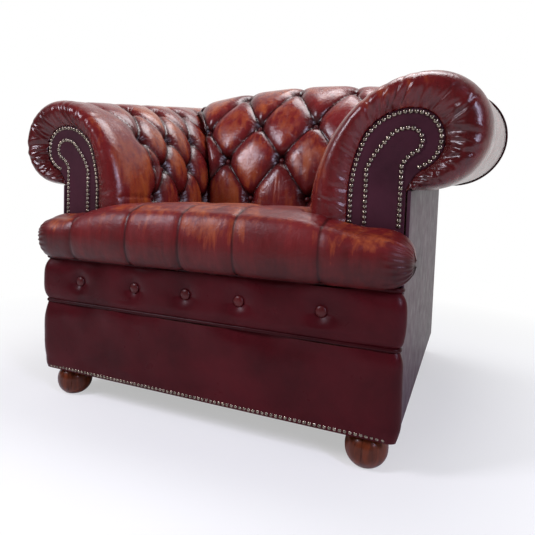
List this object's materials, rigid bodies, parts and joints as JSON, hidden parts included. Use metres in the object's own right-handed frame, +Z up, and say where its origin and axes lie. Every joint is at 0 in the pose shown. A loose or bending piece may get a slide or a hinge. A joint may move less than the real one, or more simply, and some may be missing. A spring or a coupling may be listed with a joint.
{
  "type": "chesterfield armchair",
  "caption": "Chesterfield armchair with rolled, deep-buttoned leather arms and back, a pleated seat front, nailed scroll facings and bun feet.",
  "frame": {"origin": "on the floor under the middle of the whole chair", "axes": "+Z up, +Y to the back, +X to the right as seen from the front"},
  "size_m": [1.1646, 0.8292, 0.8253],
  "materials": {
    "inside_leather": "antiqued oxblood leather, glossy, rubbed to orange-brown on the crowns",
    "border_leather": "dark oxblood leather, glossy",
    "facing_leather": "flat plum-brown leather, satin",
    "outside_leather": "flat plum-brown leather, satin",
    "piping_leather": "dark oxblood leather, satin",
    "button_leather": "glossy oxblood leather",
    "foot_wood": "glossy red-brown stained hardwood",
    "frame_timber": "sawn beech",
    "nail_brass": "antiqued",
    "insert_brass": "turned",
    "zinc_steel": "zinc plated",
    "spring_steel": "oiled spring wire",
    "hessian": "plain-woven jute",
    "jute_webbing": "herringbone jute",
    "dust_cloth": "black bonded cloth"
  },
  "bodies": {
    "root": {"arm_board_left": "frame_timber", "arm_board_right": "frame_timber", "arm_buttons_left": "button_leather", "arm_buttons_right": "button_leather", "arm_facing_left": "facing_leather", "arm_facing_right": "facing_leather", "arm_front_board_left": "frame_timber", "arm_front_board_right": "frame_timber", "arm_webbing": "jute_webbing", "back_buttons": "button_leather", "back_piping": "piping_leather", "back_post_left": "frame_timber", "back_post_right": "frame_timber", "back_rail": "frame_timber", "back_seat_rail": "frame_timber", "back_top_rail": "frame_timber", "back_upright_left": "frame_timber", "back_upright_right": "frame_timber", "back_webbing": "jute_webbing", "base_nails": "nail_brass", "border_buttons": "button_leather", "border_piping": "piping_leather", "corner_blocks": "frame_timber", "dust_cover": "dust_cloth", "facing_nails": "nail_brass", "facing_tongue_left": "facing_leather", "facing_tongue_right": "facing_leather", "foot_bolts": "zinc_steel", "foot_front_left": "foot_wood", "foot_front_right": "foot_wood", "foot_inserts": "insert_brass", "foot_rear_left": "foot_wood", "foot_rear_right": "foot_wood", "front_arm_post_left": "frame_timber", "front_arm_post_right": "frame_timber", "front_rail": "frame_timber", "front_seat_rail": "frame_timber", "gathered_arm_front_left": "inside_leather", "gathered_arm_front_right": "inside_leather", "inside_arm_pad_left": "inside_leather", "inside_arm_pad_right": "inside_leather", "inside_back_pad": "inside_leather", "lower_border": "border_leather", "outside_arm_left": "outside_leather", "outside_arm_right": "outside_leather", "outside_back": "outside_leather", "rear_arm_post_left": "frame_timber", "rear_arm_post_right": "frame_timber", "seat_buttons": "button_leather", "seat_front_roll": "inside_leather", "seat_hessian": "hessian", "seat_pad": "inside_leather", "seat_piping": "piping_leather", "seat_side_rail_left": "frame_timber", "seat_side_rail_right": "frame_timber", "seat_springs": "spring_steel", "side_rail_left": "frame_timber", "side_rail_right": "frame_timber", "spring_clips": "zinc_steel", "upper_border": "border_leather"}
  },
  "joints": []
}
